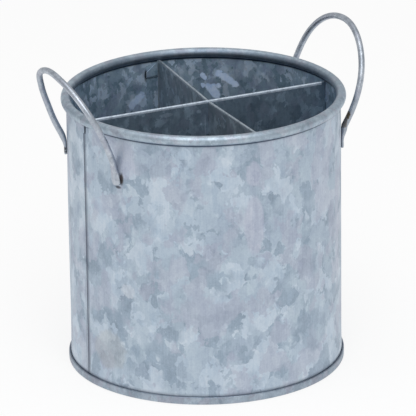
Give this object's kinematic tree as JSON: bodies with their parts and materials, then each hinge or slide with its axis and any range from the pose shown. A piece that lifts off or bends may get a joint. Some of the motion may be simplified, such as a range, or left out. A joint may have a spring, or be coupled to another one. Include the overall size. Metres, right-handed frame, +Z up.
{
  "type": "cutlery holder",
  "caption": "Round galvanised steel caddy with crossed sheet dividers, a wired rim, a lock-seamed wall and wire loop handles, for standing cutlery on a table",
  "frame": {"origin": "on the axis of the round body, at the height of the standing edge, which is the lowest plane", "axes": "+X through the handles towards the right one, +Y to the back, +Z up; the wall's lock seam is just in front of the left handle"},
  "size_m": [0.183, 0.1558, 0.1826],
  "materials": {
    "sheet": "hot-dip galvanised sheet, dull, with grey-blue spangle patches",
    "wire": "galvanised steel wire, satin"
  },
  "bodies": {
    "root": {"body_wall": "sheet", "base_pan": "sheet", "rim_wire": "wire", "divider_long": "sheet", "divider_cross": "sheet", "handle_left": "wire", "handle_right": "wire"}
  },
  "joints": []
}
